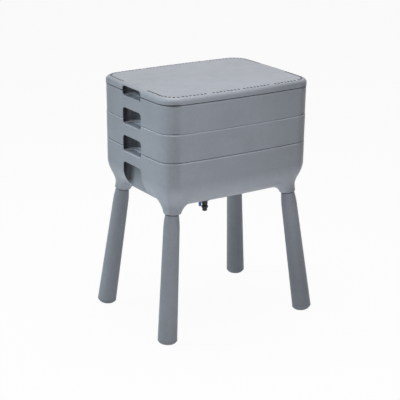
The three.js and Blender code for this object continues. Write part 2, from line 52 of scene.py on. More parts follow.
# Sizes read off the frame
HALF_LENGTH, HALF_WIDTH, LID_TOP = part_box("lid")[1]
BASE_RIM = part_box("base_bin")[1].z
LOWER_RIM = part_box("lower_tray")[1].z
UPPER_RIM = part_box("upper_tray")[1].z
TRAY_PITCH = UPPER_RIM - LOWER_RIM

# Plan of the stack
CORNER_RADIUS = 55 * MM
LEAST_CORNER = 6 * MM
LONG_BOW = 8 * MM
SHORT_BOW = 4.4 * MM
TRAY_INSET = 1 * MM
BASE_INSET = 1.6 * MM
DRAFT_SHARE = 0.004
BASE_DEPTH = 145 * MM
UNDERSIDE = BASE_RIM - BASE_DEPTH

# Walls, seats and edges
WALL = 3 * MM
SEAT = 0.7 * MM
NEST_GAP = 0.6 * MM
NEST_DEPTH = 14.5 * MM
OVER = 2 * MM
SMALLEST = 0.1 * MM
TINY = 1e-6
RIM_EDGE = 1.9 * MM
INNER_EDGE = 0.8 * MM
FOOT_EDGE = 1.7 * MM
FOOT_TUCK = 0.8 * MM
FLOOR_FILLET = 4 * MM

# Hand-holds
HOLD_HALF = 50 * MM
HOLD_DEPTH = 33 * MM
HOLD_FOOT_DEPTH = 25 * MM
HOLD_CORNER = 25 * MM
HOLD_EDGE = 10 * MM
HOLD_LIP = 1.6 * MM
HOLD_BACK = 7.5 * MM
HOLD_FILLET = 4 * MM
NOTCH_DEPTH = 13.2 * MM
HOLD_REACH = 34.5 * MM
BASE_STRIP = 31 * MM
LID_NOTCH = 16.5 * MM

# Tray floors
HOLE_RADIUS = 2.5 * MM
HOLE_PITCH = 25 * MM
HOLE_MARGIN = 24 * MM

# Lid
LID_EDGE = 11.5 * MM
LID_CROWN = 2.5 * MM
LID_LIP_WALL = 2 * MM
LID_LIP_DROP = 8 * MM
LID_LIP_CLEAR = 10 * MM
VENT_RADIUS = 3.7 * MM
VENT_EDGE = 0.3 * MM
VENT_INSET = 14.5 * MM
VENT_PITCH = 11.6 * MM
VENT_START_SHARES = (0.024, 0.302, 0.519)
VENT_COUNTS = (8, 7, 11)

# Base
BASE_EDGE = 86 * MM
FUNNEL_RADIUS = 100 * MM
FUNNEL_DROP = 7 * MM
BOSS_RADIUS = 28 * MM
OUTLET_RADIUS = 10.5 * MM
REMESH_SIZE = 3 * MM
SETTLE_ROUNDS = 6
LEAST_SLOPE = 0.2
TRIM_GAP = 0.02 * MM

# Leg sockets
COLLAR_HEIGHT = 367 * MM
COLLAR_RADIUS = 22.5 * MM
COLLAR_X = HALF_LENGTH - 48.5 * MM
COLLAR_Y = HALF_WIDTH - 53.5 * MM
COLLAR_EDGE = 1.8 * MM
SPLAY_SHARE = 0.105
OUTER_BLEND = 19 * MM
INNER_BLEND = 28 * MM
SIDE_BLEND = 20 * MM
SPIGOT_RADIUS = 16.4 * MM
SPIGOT_LENGTH = 56 * MM
SOCKET_GAP = 0.4 * MM
SOCKET_WALL = 3.4 * MM
CUP_FOOT = 12 * MM
LEG_TILT = atan(SPLAY_SHARE * sqrt(2))
LEG_LENGTH = COLLAR_HEIGHT / cos(LEG_TILT)

# Facets on round things
SIDE_STEPS = 8
CORNER_STEPS = 18
EDGE_STEPS = 5
LID_STEPS = 3 * EDGE_STEPS
HOLE_STEPS = 16
STEM_STEPS = 64
LEG_STEPS = 72
SUMP_STEPS = 96

CORNERS = {
    "front_left": (-1, -1),
    "front_right": (1, -1),
    "back_left": (-1, 1),
    "back_right": (1, 1),
}


# Modelling by hand: primitives drawn out in edit mode, then cut and joined

def place_selected(ring):
    """Puts the corners of the selected face, in their order, at the points of a ring."""
    mesh = bmesh.from_edit_mesh(bpy.context.object.data)
    face = next(f for f in mesh.faces if f.select)
    for vertex, point in zip(face.verts, ring):
        vertex.co = point
    bmesh.update_edit_mesh(bpy.context.object.data)


def lofted(name, rings, ringed=False):
    """A closed solid drawn out of a filled circle, ring by ring. A ringed one meets its own first ring."""
    bpy.ops.mesh.primitive_circle_add(vertices=len(rings[0]), fill_type="NGON")
    piece = bpy.context.object
    piece.name = name
    bpy.ops.object.mode_set(mode="EDIT")
    bpy.ops.mesh.select_mode(type="FACE")
    bpy.ops.mesh.select_all(action="SELECT")
    place_selected(rings[0])
    for ring in rings[1:]:
        bpy.ops.mesh.extrude_region_move()
        place_selected(ring)
    if ringed:
        bridge_ends(len(rings[0]))
    bpy.ops.mesh.select_all(action="SELECT")
    bpy.ops.mesh.normals_make_consistent(inside=False)
    bpy.ops.object.mode_set(mode="OBJECT")
    piece.select_set(False)
    return piece


def bridge_ends(count):
    """Opens the two end faces of a drawn-out ring and bridges the loops that they leave."""
    mesh = bmesh.from_edit_mesh(bpy.context.object.data)
    for face in mesh.faces:
        face.select_set(len(face.verts) == count)
    bmesh.update_edit_mesh(bpy.context.object.data)
    bpy.ops.mesh.delete(type="ONLY_FACE")
    bpy.ops.mesh.select_mode(type="EDGE")
    bpy.ops.mesh.select_all(action="DESELECT")
    bpy.ops.mesh.select_non_manifold()
    bpy.ops.mesh.bridge_edge_loops()


def applied(piece, kind, **settings):
    """Adds a modifier, sets it and applies it."""
    modifier = piece.modifiers.new(kind.lower(), kind)
    for name, value in settings.items():
        setattr(modifier, name, value)
    bpy.context.view_layer.objects.active = piece
    bpy.ops.object.modifier_apply(modifier=modifier.name)
    return piece


def combined(piece, tools, operation):
    for tool in tools:
        applied(piece, "BOOLEAN", operation=operation, solver="MANIFOLD", object=tool)
        bpy.data.objects.remove(tool)
    return piece


def cut(piece, *tools):
    return combined(piece, tools, "DIFFERENCE")


def joined(piece, *tools):
    return combined(piece, tools, "UNION")


def kept_in(piece, *tools):
    return combined(piece, tools, "INTERSECT")


def copied(piece, name, matrix=Matrix.Identity(4)):
    """A copy with its own mesh, moved to its place in the mesh."""
    twin = piece.copy()
    twin.data = piece.data.copy()
    twin.name = name
    twin.data.transform(matrix)
    bpy.context.scene.collection.objects.link(twin)
    return twin


def gathered(pieces):
    """Several separate solids as one object."""
    for piece in pieces:
        piece.select_set(True)
    bpy.context.view_layer.objects.active = pieces[0]
    bpy.ops.object.join()
    pieces[0].select_set(False)
    return pieces[0]


def both_ends(piece):
    return gathered([piece, copied(piece, "far_end", Matrix.Rotation(pi, 4, "Z"))])


def repeated(pattern, name, places):
    """Copies of a pattern at several places, as one object."""
    copies = gathered([copied(pattern, name, place) for place in places])
    bpy.data.objects.remove(pattern)
    return copies


def spun(place, count):
    """Places spread evenly round an axis."""
    return [place @ Matrix.Rotation(2 * pi * i / count, 4, "Z") for i in range(count)]


def block(size, place):
    """A box to cut with, its size and place in its mesh."""
    bpy.ops.mesh.primitive_cube_add(size=1)
    box = bpy.context.object
    box.data.transform(Matrix.Translation(place) @ Matrix.Diagonal((*size, 1)))
    box.select_set(False)
    return box


# Outlines and profiles

def arc(centre, radius, start, end, steps):
    turn = (end - start) / steps
    angles = [start + i * turn for i in range(steps + 1)]
    return [(centre[0] + radius * cos(a), centre[1] + radius * sin(a)) for a in angles]


def quarter_turn(steps=EDGE_STEPS):
    """The angles of a rounded edge."""
    return [i / steps * pi / 2 for i in range(steps + 1)]


class Plan:
    """The bowed outline of the stack, inset from the lid's edge, and how far points lie outside it."""

    def __init__(self, inset):
        length, width = HALF_LENGTH - inset, HALF_WIDTH - inset
        self.radius = max(CORNER_RADIUS - inset, LEAST_CORNER)
        self.long_arc = (length**2 + LONG_BOW**2) / (2 * LONG_BOW)
        self.short_arc = (width**2 + SHORT_BOW**2) / (2 * SHORT_BOW)
        self.long_centre = Vector((0, width - self.long_arc))
        self.short_centre = Vector((length - self.short_arc, 0))
        apart = self.short_centre - self.long_centre
        reach = self.long_arc - self.radius
        short_reach = self.short_arc - self.radius
        along = (reach**2 - short_reach**2 + apart.length_squared) / (2 * apart.length)
        across = sqrt(reach**2 - along**2)
        unit = apart.normalized()
        self.corner = self.long_centre + unit * along + Vector((unit.y, -unit.x)) * across
        self.turn_short = atan2(*reversed(self.corner - self.short_centre))
        self.turn_long = atan2(*reversed(self.corner - self.long_centre))

    def points(self):
        quarter = arc(self.short_centre, self.short_arc, 0, self.turn_short, SIDE_STEPS)[:-1]
        quarter += arc(self.corner, self.radius, self.turn_short, self.turn_long, CORNER_STEPS)[:-1]
        quarter += arc(self.long_centre, self.long_arc, self.turn_long, pi / 2, SIDE_STEPS)
        back = quarter[::-1]
        turns = ((quarter, 1, 1), (back, -1, 1), (quarter, -1, -1), (back, 1, -1))
        return [(x * flip_x, y * flip_y) for part, flip_x, flip_y in turns for x, y in part[:-1]]

    def outside(self, x, y):
        """How far points lie outside the outline. Deep inside, its corners stay round."""
        x, y = np.abs(x), np.abs(y)
        away = lambda centre, radius: np.hypot(x - centre.x, y - centre.y) - radius
        long_side = away(self.long_centre, self.long_arc)
        short_side = away(self.short_centre, self.short_arc)
        turn = np.arctan2(y - self.corner.y, x - self.corner.x)
        in_corner = (turn > self.turn_short) & (turn < self.turn_long)
        deep = [np.maximum(-side - self.radius, TINY) for side in (long_side, short_side)]
        soft = -((deep[0] ** -3.0 + deep[1] ** -3.0) ** (-1 / 3)) - self.radius
        sides = np.where(np.minimum(*deep) > TINY, soft, np.maximum(long_side, short_side))
        return np.where(in_corner, away(self.corner, self.radius), sides)


def outline(inset):
    return Plan(inset).points()


def hold_plan(depth, grow):
    """The plan of a hand-hold recess at the +X end, grown on its three inner sides."""
    front = HALF_LENGTH + OVER
    side = HOLD_HALF + grow
    radius = HOLD_CORNER + grow
    x = HALF_LENGTH - TRAY_INSET - depth - grow + radius
    y = side - radius
    near = arc((x, y), radius, pi / 2, pi, CORNER_STEPS)
    return [(front, -side), (front, side), *near, *arc((x, -y), radius, pi, 1.5 * pi, CORNER_STEPS)]


def profile(low, high, low_edge=0.0, high_edge=0.0, flare=0.0, steps=EDGE_STEPS):
    """Pairs of inset and height up a wall whose ends are rounded, or flared at the top."""
    turns = quarter_turn(steps)
    pairs = [(0, low)]
    if low_edge:
        pairs = [(low_edge * (1 - sin(a)), low + low_edge * (1 - cos(a))) for a in turns]
    if high_edge:
        return pairs + [(high_edge * (1 - cos(a)), high - high_edge * (1 - sin(a))) for a in turns]
    if flare:
        mouth = [(flare * (cos(a) - 1), high - flare * (1 - sin(a))) for a in turns]
        return pairs + mouth + [(-flare, high + OVER)]
    return pairs + [(0, high)]


def prism(name, plan, pairs):
    """A solid whose level rings follow plan(inset, height)."""
    return lofted(name, [[(x, y, height) for x, y in plan(inset, height)] for inset, height in pairs])


def straight(inset):
    """The plan of a straight wall, inset from the lid's edge."""
    return lambda more, height: outline(inset + more)


def drafted(inset, rim):
    """The plan of a wall that leans in below its rim."""
    return lambda more, height: outline(inset + DRAFT_SHARE * max(rim - height, 0) + more)


def holds(grow, low, high, foot_depth=HOLD_DEPTH, **edges):
    """The recesses of both hand-holds, from a depth at the foot to the full depth at the top."""
    def plan(more, height):
        share = (height - low) / (high - low)
        return hold_plan(foot_depth + (HOLD_DEPTH - foot_depth) * share, grow - more)
    return both_ends(prism("recess", plan, profile(low, high, **edges)))


def hold_hollow(inset, low, high, foot_depth=HOLD_DEPTH, **edges):
    """The recesses behind the outer wall, which the wall still covers."""
    recess = holds(0, low, high, foot_depth, **edges)
    return kept_in(recess, prism("behind", straight(inset + WALL), profile(low - OVER, high + OVER)))


def hold_openings(square, rounded, face):
    """Hand openings through both short walls, from a square end to a rounded one. Their edges flare
    where they meet the face, given as its distance from the middle at each height."""
    up = 1 if rounded > square else -1
    bow = Plan(0).short_arc
    turn = rounded - up * HOLD_EDGE
    count = 3 * SIDE_STEPS
    sides = [square + (turn - square) * i / count for i in range(count)]

    def ring(grow, x):
        edge, inner = HOLD_EDGE + grow, HOLD_HALF - HOLD_EDGE
        shape = [(HOLD_HALF + grow, z) for z in sides]
        shape += arc((inner, turn), edge, 0, up * pi / 2, CORNER_STEPS)
        shape += arc((-inner, turn), edge, up * pi / 2, up * pi, CORNER_STEPS)
        shape += [(-HOLD_HALF - grow, z) for z in reversed(sides)]
        return [(x(y, z), y, z) for y, z in shape]

    back = HALF_LENGTH - HOLD_BACK
    rings = [ring(0, lambda y, z: back)]
    for step, a in enumerate(quarter_turn()):
        floor = back + OVER * (step + 1) / (EDGE_STEPS + 2)
        behind = HOLD_LIP * (1 - sin(a))
        at = lambda y, z: max(face(z) - behind - y * y / (2 * bow), floor)
        rings.append(ring(HOLD_LIP * (1 - cos(a)), at))
    rings.append(ring(HOLD_LIP, lambda y, z: HALF_LENGTH + OVER))
    return both_ends(lofted("opening", rings))


def turned(name, pairs, steps, matrix=Matrix.Identity(4), ringed=False):
    """Radius and height pairs drawn out round an axis."""
    turns = [i / steps * 2 * pi for i in range(steps)]
    return lofted(name, [
        [matrix @ Vector((radius * cos(a), radius * sin(a), height)) for a in turns]
        for radius, height in pairs
    ], ringed)


def rounded_pairs(corners, steps=EDGE_STEPS):
    """Radius and height pairs along a profile, where a third number rounds its corner."""
    pairs = []
    for i, (radius, height, *edge) in enumerate(corners):
        here = Vector((radius, height))
        if not edge:
            pairs.append((radius, height))
            continue
        after = corners[(i + 1) % len(corners)]
        back, ahead = [(Vector(other[:2]) - here).normalized() for other in (corners[i - 1], after)]
        half = back.angle(ahead) / 2
        middle = here + (back + ahead).normalized() * edge[0] / sin(half)
        start = here + back * edge[0] / tan(half) - middle
        sweep = start.angle_signed(here + ahead * edge[0] / tan(half) - middle)
        for step in range(steps + 1):
            point = middle + Matrix.Rotation(-sweep * step / steps, 2) @ start
            pairs.append((point.x, point.y))
    return pairs


def disc_pairs(inner, outer, low, high, low_edge, high_edge):
    """The profile of a disc or ring whose outer edges are rounded."""
    return rounded_pairs([(inner, low), (outer, low, low_edge), (outer, high, high_edge), (inner, high)])


def finished(piece, body, node, finish, angle=30):
    """Shades a piece, gives it its plastic, hangs it on its body and hides the frame's part that it stands
    for.
    """
    piece.select_set(True)
    bpy.context.view_layer.objects.active = piece
    bpy.ops.object.shade_smooth_by_angle(angle=radians(angle))
    piece.select_set(False)
    applied(piece, "WEIGHTED_NORMAL", keep_sharp=True)
    piece.data.materials.clear()
    piece.data.materials.append(finish)
    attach(piece, body)
    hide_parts(node)


# Trays

def tray_holes(stand):
    """Drain holes over a tray's floor."""
    low = stand - NEST_DEPTH - OVER
    high = stand - NEST_DEPTH + WALL
    mouth = (HOLE_RADIUS + 2 * INNER_EDGE, high + INNER_EDGE)
    drill = turned("hole", [(HOLE_RADIUS, low), (HOLE_RADIUS, high - INNER_EDGE), mouth], HOLE_STEPS)
    reaches = (HALF_LENGTH - HOLD_DEPTH - HOLE_MARGIN, HALF_WIDTH - HOLE_MARGIN)
    count_x, count_y = [int(reach / HOLE_PITCH + 0.5) for reach in reaches]
    return repeated(drill, "hole", [
        Matrix.Translation((HOLE_PITCH * (i + 0.5), HOLE_PITCH * (j + 0.5), 0))
        for i in range(-count_x, count_x)
        for j in range(-count_y, count_y)
    ])


def tray(name, stand):
    """A tray standing on the rim at a height: band, nesting foot, hand-holds and perforated floor."""
    rim = stand + TRAY_PITCH
    foot = TRAY_INSET + DRAFT_SHARE * TRAY_PITCH + FOOT_TUCK
    nest = foot + WALL + NEST_GAP - FOOT_TUCK
    web = rim - NOTCH_DEPTH
    below, above = stand - NEST_DEPTH - OVER, rim + OVER
    ledge = stand + SEAT + WALL
    inset = lambda z: TRAY_INSET + DRAFT_SHARE * (rim - z)
    tuck = lambda z: FOOT_TUCK * max(1 - (z - stand) / (8 * SEAT), 0)
    face = lambda z: HALF_LENGTH - inset(z)
    lean = lambda more, z: outline(inset(z) + tuck(z) + more)
    band = prism(name, lean, profile(stand + SEAT, rim, low_edge=FOOT_EDGE, high_edge=RIM_EDGE))
    cut(band, hold_hollow(foot, below, web - WALL, high_edge=HOLD_FILLET))
    cut(band, hold_openings(below, stand + HOLD_REACH, face))
    sole = profile(stand - NEST_DEPTH, stand + SEAT + WALL / 2, low_edge=WALL)
    joined(band, cut(prism("nest", straight(nest), sole), holds(WALL + NEST_GAP, below, above)))
    cut(band, hold_hollow(TRAY_INSET, web, above, low_edge=HOLD_FILLET))
    cut(band, hold_openings(above, web, face))
    wall = profile(ledge, rim, low_edge=WALL, flare=INNER_EDGE)
    room = prism("room", drafted(TRAY_INSET + WALL, rim), wall)
    cut(band, cut(room, holds(WALL, below, above + OVER)))
    floor = profile(stand - NEST_DEPTH + WALL, ledge + OVER, low_edge=FLOOR_FILLET)
    nest_room = prism("nest_room", straight(nest + WALL), floor)
    cut(band, cut(nest_room, holds(2 * WALL + NEST_GAP, below, above)))
    return cut(band, tray_holes(stand))


# Lid

def lid_shape(name, depth, foot, foot_edge=0.0):
    """The lid filled, or all of it at a depth under its surface: up the edge, then up the crown."""
    radius = LID_EDGE - depth
    spring = LID_TOP - LID_CROWN - LID_EDGE
    pairs = profile(foot, spring, low_edge=foot_edge)
    pairs += [(radius * (1 - cos(a)), spring + radius * sin(a)) for a in quarter_turn(LID_STEPS)[1:]]
    rings = [[(x, y, height) for x, y in outline(depth + inset)] for inset, height in pairs]
    edge = rings[-1]
    for step in range(1, LID_STEPS):
        share = 1 - step / LID_STEPS
        rings.append([(x * share, y * share, z + LID_CROWN * (1 - share**2)) for x, y, z in edge])
    return lofted(name, rings)


def vent_places():
    """Places along one quarter of the vents' line, from the middle of the long side to the short one."""
    points = np.array(outline(VENT_INSET))
    quarter = points[: len(points) // 4 + 1][::-1]
    along = np.append(0, np.cumsum(np.linalg.norm(np.diff(quarter, axis=0), axis=1)))
    groups = zip(VENT_START_SHARES, VENT_COUNTS)
    spots = [share * along[-1] + i * VENT_PITCH for share, count in groups for i in range(count)]
    return [[np.interp(spot, along, axis) for axis in quarter.T] for spot in spots]


def vents():
    """Small round vents through the lid, each with a softened mouth."""
    top = LID_TOP - LID_CROWN
    mouth = VENT_RADIUS + VENT_EDGE
    pairs = [
        (VENT_RADIUS, top - LID_EDGE), (VENT_RADIUS, top - VENT_EDGE),
        (mouth, top + VENT_EDGE), (mouth, top + LID_CROWN),
    ]
    return repeated(turned("vent", pairs, HOLE_STEPS), "vent", [
        Matrix.Translation((x * flip_x, y * flip_y, 0))
        for x, y in vent_places()
        for flip_x, flip_y in CORNERS.values()
    ])


def lid(name):
    """The lid: a crowned shell with a hand notch and pocket wall at each end, an inner lip and vents."""
    shell = lid_shape(name, 0, UPPER_RIM + SEAT, FOOT_EDGE)
    roof = copied(shell, "roof")
    lip_inset = TRAY_INSET + WALL + NEST_GAP
    lip_low = UPPER_RIM - LID_LIP_DROP
    skirt = profile(lip_low, LID_TOP - LID_CROWN - WALL / 2, low_edge=INNER_EDGE)
    lip = prism("lip", straight(lip_inset), skirt)
    bore = prism("lip_bore", straight(lip_inset + LID_LIP_WALL), profile(lip_low - OVER, LID_TOP))
    clear = (2 * HALF_LENGTH, 2 * (HOLD_HALF + LID_LIP_CLEAR), TRAY_PITCH)
    cut(lip, bore, block(clear, (0, 0, UPPER_RIM)))
    pockets = cut(holds(WALL, UPPER_RIM + SEAT, LID_TOP), holds(0, UPPER_RIM - OVER, LID_TOP + OVER))
    kept_in(pockets, roof)
    kept_in(lip, lid_shape("low_roof", 0, lip_low - OVER))
    cut(shell, lid_shape("inner", WALL, UPPER_RIM - OVER))
    joined(shell, pockets, lip)
    cut(shell, hold_openings(UPPER_RIM - OVER, UPPER_RIM + LID_NOTCH, lambda z: HALF_LENGTH))
    return cut(shell, vents())


# Base

def leg_frame(side_x, side_y):
    """A leg's own frame: the origin at the collar's lower face, Z up along the leg's axis."""
    place = Matrix.Translation((COLLAR_X * side_x, COLLAR_Y * side_y, COLLAR_HEIGHT))
    return place @ Matrix.Rotation(atan2(side_y, side_x), 4, "Z") @ Matrix.Rotation(-LEG_TILT, 4, "Y")


def dip(radius):
    """How far the funnel drops below the underside."""
    share = np.clip((FUNNEL_RADIUS - radius) / (FUNNEL_RADIUS - BOSS_RADIUS), 0, 1)
    return FUNNEL_DROP * share * share * (3 - 2 * share)


def base_skin_gap(points):
    """How far points lie outside the base's outer skin, where the sockets flow into the round underside."""
    x, y, z = points.T
    side = BASE_PLAN.outside(x, y) - DRAFT_SHARE * (z - BASE_RIM)
    out = side + BASE_EDGE
    down = UNDERSIDE + BASE_EDGE - z - dip(np.hypot(x, y))
    body = np.hypot(np.maximum(out, 0), np.maximum(down, 0)) - BASE_EDGE
    body = body + np.minimum(np.maximum(out, down), 0)
    for side_x, side_y in CORNERS.values():
        place = leg_frame(side_x, side_y)
        axis = np.array(place.col[2][:3])
        away = points - np.array(place.translation)
        across = away - np.outer(away @ axis, axis)
        radius = np.linalg.norm(across, axis=1)
        inward = across[:, 0] * side_x + across[:, 1] * side_y
        inward = -inward / np.maximum(radius * sqrt(2), SMALLEST)
        blend = (OUTER_BLEND * (1 - inward) + INNER_BLEND * (1 + inward)) / 2
        blend = blend + SIDE_BLEND * (1 - inward**2) ** 2
        socket = radius - COLLAR_RADIUS
        near = np.maximum(blend - np.abs(body - socket), 0) / blend
        body = np.minimum(body, socket) - near**2 * blend / 4
    return np.maximum(body, side)


def settled(piece, gap, limit):
    """Moves the corners of a mesh below a height along the slope of a gap until they lie on the surface."""
    points = np.empty(len(piece.data.vertices) * 3)
    piece.data.vertices.foreach_get("co", points)
    points = points.reshape(-1, 3)
    low = points[:, 2] < limit
    loose = points[low]
    steps = SMALLEST * np.eye(3)
    for _ in range(SETTLE_ROUNDS):
        slope = np.stack([gap(loose + step) - gap(loose - step) for step in steps], axis=1) / (2 * SMALLEST)
        loose -= (gap(loose) / np.maximum((slope**2).sum(1), LEAST_SLOPE))[:, None] * slope
    points[low] = loose
    piece.data.vertices.foreach_set("co", points.ravel())
    piece.data.update()
    return piece


def base_skin(name):
    """The base's outer skin, filled: its body and sockets joined, remeshed and settled on their blend."""
    top = BASE_RIM + 4 * OVER
    side = lambda more, height: outline(BASE_INSET + DRAFT_SHARE * (BASE_RIM - height) + more)
    skin = prism(name, side, profile(UNDERSIDE, top, low_edge=BASE_EDGE, steps=2 * EDGE_STEPS))
    low = (BOSS_RADIUS, UNDERSIDE - FUNNEL_DROP)
    funnel = [low, (FUNNEL_RADIUS, UNDERSIDE), (FUNNEL_RADIUS, top - OVER)]
    joined(skin, turned("funnel", funnel, STEM_STEPS))
    stem = [(COLLAR_RADIUS, -6 * OVER), (COLLAR_RADIUS, BASE_EDGE)]
    for sides in CORNERS.values():
        joined(skin, turned("stem", stem, STEM_STEPS, leg_frame(*sides)))
    applied(skin, "REMESH", mode="VOXEL", voxel_size=REMESH_SIZE, adaptivity=0)
    applied(skin, "SMOOTH", factor=0.5, iterations=3)
    return settled(skin, base_skin_gap, BASE_RIM + OVER)


def socket_cup(matrix):
    """The closed cup round a leg's spigot, inside the base."""
    radius = SPIGOT_RADIUS + SOCKET_GAP + SOCKET_WALL
    top = SPIGOT_LENGTH + SOCKET_WALL
    corners = [(radius, CUP_FOOT), (radius, top, SOCKET_WALL), (SMALLEST, top)]
    return turned("cup", rounded_pairs(corners), LEG_STEPS, matrix)


def socket_bore(matrix):
    """What is cut for a leg: the bore for its spigot, and all below the collar, whose edge is rounded."""
    radius = SPIGOT_RADIUS + SOCKET_GAP
    top = SPIGOT_LENGTH + SOCKET_GAP
    bore = [(radius + COLLAR_EDGE / 2, -OVER), (radius, COLLAR_EDGE / 2), (radius, top)]
    reach = 2 * COLLAR_RADIUS
    under = [(reach, -COLLAR_RADIUS), (reach, COLLAR_EDGE), (COLLAR_RADIUS + OVER / 4, COLLAR_EDGE)]
    flat = COLLAR_RADIUS - COLLAR_EDGE
    under += [(flat + COLLAR_EDGE * cos(a), COLLAR_EDGE * (1 - sin(a))) for a in quarter_turn()]
    hollow = turned("bore", bore, LEG_STEPS, matrix)
    return joined(turned("under", under, LEG_STEPS, matrix), hollow)


def base(name):
    """The base: the skin hollowed out, with hand-holds, leg sockets and the tap's outlet."""
    web = BASE_RIM - NOTCH_DEPTH
    boss = UNDERSIDE - FUNNEL_DROP
    above, below = BASE_RIM + OVER, boss - OVER
    skin = base_skin(name)
    rim = profile(COLLAR_HEIGHT - COLLAR_RADIUS, BASE_RIM, high_edge=RIM_EDGE)
    kept_in(skin, prism("trim", drafted(BASE_INSET - TRIM_GAP, BASE_RIM), rim))
    outer = copied(skin, "outer")
    floor = UNDERSIDE + WALL
    wall = profile(floor, BASE_RIM, low_edge=BASE_EDGE - WALL, flare=INNER_EDGE, steps=2 * EDGE_STEPS)
    room = prism("room", drafted(BASE_INSET + WALL, BASE_RIM), wall)
    sump = [(BOSS_RADIUS, boss + WALL), (FUNNEL_RADIUS, floor), (FUNNEL_RADIUS, floor + WALL)]
    joined(room, turned("sump", sump, SUMP_STEPS))
    cut(room, holds(WALL, below, above + 2 * OVER, HOLD_FOOT_DEPTH))
    cut(skin, room)
    frames = [leg_frame(*sides) for sides in CORNERS.values()]
    joined(skin, kept_in(gathered([socket_cup(place) for place in frames]), outer))
    cut(skin, *[socket_bore(place) for place in frames])
    down = lambda z: min(max(UNDERSIDE + BASE_EDGE - z, 0), BASE_EDGE)
    rounding = lambda z: BASE_EDGE - sqrt(BASE_EDGE**2 - down(z) ** 2)
    face = lambda z: HALF_LENGTH - BASE_INSET - DRAFT_SHARE * (BASE_RIM - z) - rounding(z)
    cut(skin, hold_hollow(BASE_INSET, below, web - WALL, HOLD_FOOT_DEPTH, high_edge=HOLD_FILLET))
    cut(skin, hold_openings(below, web - BASE_STRIP, face))
    cut(skin, hold_hollow(BASE_INSET, web, above, low_edge=HOLD_FILLET))
    cut(skin, hold_openings(above, web, face))
    outlet = [(OUTLET_RADIUS, below), (OUTLET_RADIUS, boss + WALL + OVER)]
    return cut(skin, turned("outlet", outlet, TAP_STEPS))


BASE_PLAN = Plan(BASE_INSET)


# Legs and foot caps

LEG_GAP = 0.5 * MM
LEG_TOP_RADIUS = 19 * MM
LEG_TOP_EDGE = 2.2 * MM
NECK_RADIUS = 23 * MM
NECK_LENGTH = 42 * MM
NECK_SLOPE = 0.16
NECK_STEPS = 12
LEG_FOOT_RADIUS = 28 * MM
LEG_WALL = 3 * MM
LEG_END_EDGE = 0.7 * MM
CAP_HEIGHT = 9 * MM
CAP_EDGE = 15 * MM
CAP_SUNK = 2 * MM
CAP_PLUG_DEPTH = 14 * MM
CAP_GAP = 0.4 * MM
LEG_TAPER = (LEG_FOOT_RADIUS - NECK_RADIUS) / (LEG_LENGTH - NECK_LENGTH)


def neck_pairs():
    """The leg's neck from its steady taper up to the collar, as one smooth curve."""
    pairs = []
    for step in range(NECK_STEPS):
        share = 1 - step / NECK_STEPS
        rise = 3 * share**2 - 2 * share**3
        slope = NECK_SLOPE * (share - 2 * share**2 + share**3) + LEG_TAPER * (share**3 - share**2)
        radius = LEG_TOP_RADIUS + (NECK_RADIUS - LEG_TOP_RADIUS) * rise + NECK_LENGTH * slope
        pairs.append((radius, -NECK_LENGTH * share))
    return pairs


def leg(name, place):
    """A tapered hollow leg with its spigot, in place."""
    end = CAP_HEIGHT - LEG_LENGTH
    end_radius = LEG_FOOT_RADIUS - LEG_TAPER * CAP_HEIGHT
    outer = rounded_pairs([
        (SMALLEST, end), (end_radius, end, LEG_END_EDGE), *neck_pairs(),
        (LEG_TOP_RADIUS, -LEG_GAP, LEG_TOP_EDGE), (SPIGOT_RADIUS, -LEG_GAP),
        (SPIGOT_RADIUS, SPIGOT_LENGTH, INNER_EDGE), (SMALLEST, SPIGOT_LENGTH),
    ])
    inner = [
        (end_radius - LEG_WALL, end - OVER),
        (NECK_RADIUS - LEG_WALL, -NECK_LENGTH),
        (SPIGOT_RADIUS - LEG_WALL, -LEG_GAP - LEG_WALL),
        (SPIGOT_RADIUS - LEG_WALL, SPIGOT_LENGTH - LEG_WALL),
    ]
    return cut(turned(name, outer, LEG_STEPS, place), turned("hollow", inner, LEG_STEPS, place))


def foot_cap(name, place):
    """A rounded foot cap with its plug, cut level with the floor."""
    top = CAP_HEIGHT - LEG_LENGTH - SEAT / 2
    low = -LEG_LENGTH - CAP_SUNK
    radius = LEG_FOOT_RADIUS - LEG_TAPER * CAP_HEIGHT
    plug = radius - LEG_WALL - CAP_GAP
    pairs = rounded_pairs([
        (SMALLEST, low), (radius, low, CAP_EDGE), (radius, top, LEG_END_EDGE), (plug, top),
        (plug, top + CAP_PLUG_DEPTH, INNER_EDGE), (SMALLEST, top + CAP_PLUG_DEPTH),
    ], 2 * EDGE_STEPS)
    spread = 2 * (HALF_LENGTH + HALF_WIDTH)
    below = block((spread, spread, 2 * CAP_EDGE), (0, 0, -CAP_EDGE))
    return cut(turned(name, pairs, LEG_STEPS, place), below)


# Tap: drops are measured down from the boss under the base

BOSS_HEIGHT = UNDERSIDE - FUNNEL_DROP
SHANK_RADIUS = 10 * MM
SHANK_TOP = 14 * MM
FLANGE_RADIUS = 15 * MM
FLANGE_TOP = -2.3 * MM
FLANGE_THICKNESS = 4 * MM
THROAT_RADIUS = 8.5 * MM
VALVE_DROP = 32 * MM
VALVE_RADIUS = 13 * MM
VALVE_STEPS = 12
OUTLET_BULGE = 8.6 * MM
OUTLET_DROP = 46 * MM
WAIST_RADIUS = 6.6 * MM
WAIST_DROP = 53.5 * MM
NOZZLE_RADIUS = 7.4 * MM
NOZZLE_DROP = 70.5 * MM
NOZZLE_LIP = 1.6 * MM
TAP_EDGE = 0.6 * MM
TAP_BORE = 4.5 * MM
TAP_STEPS = 48
WASHER_WIDTH = 5 * MM
WASHER_THICKNESS = 1.7 * MM
THREAD_GAP = 0.3 * MM
RIB_RADIUS = 9.4 * MM
RIB_LENGTH = 6.5 * MM
RIB_DROP = 62.5 * MM
RIB_COUNT = 20
RIB_SIDES = 8
RIB_DEPTH = 0.6 * MM
PLUG_RADIUS = 7 * MM
PLUG_HALF = 9 * MM
PLUG_GAP = 0.3 * MM
SLEEVE_WALL = 3 * MM
VALVE_END = 13.9 * MM
LEVER_FACE = 14.2 * MM
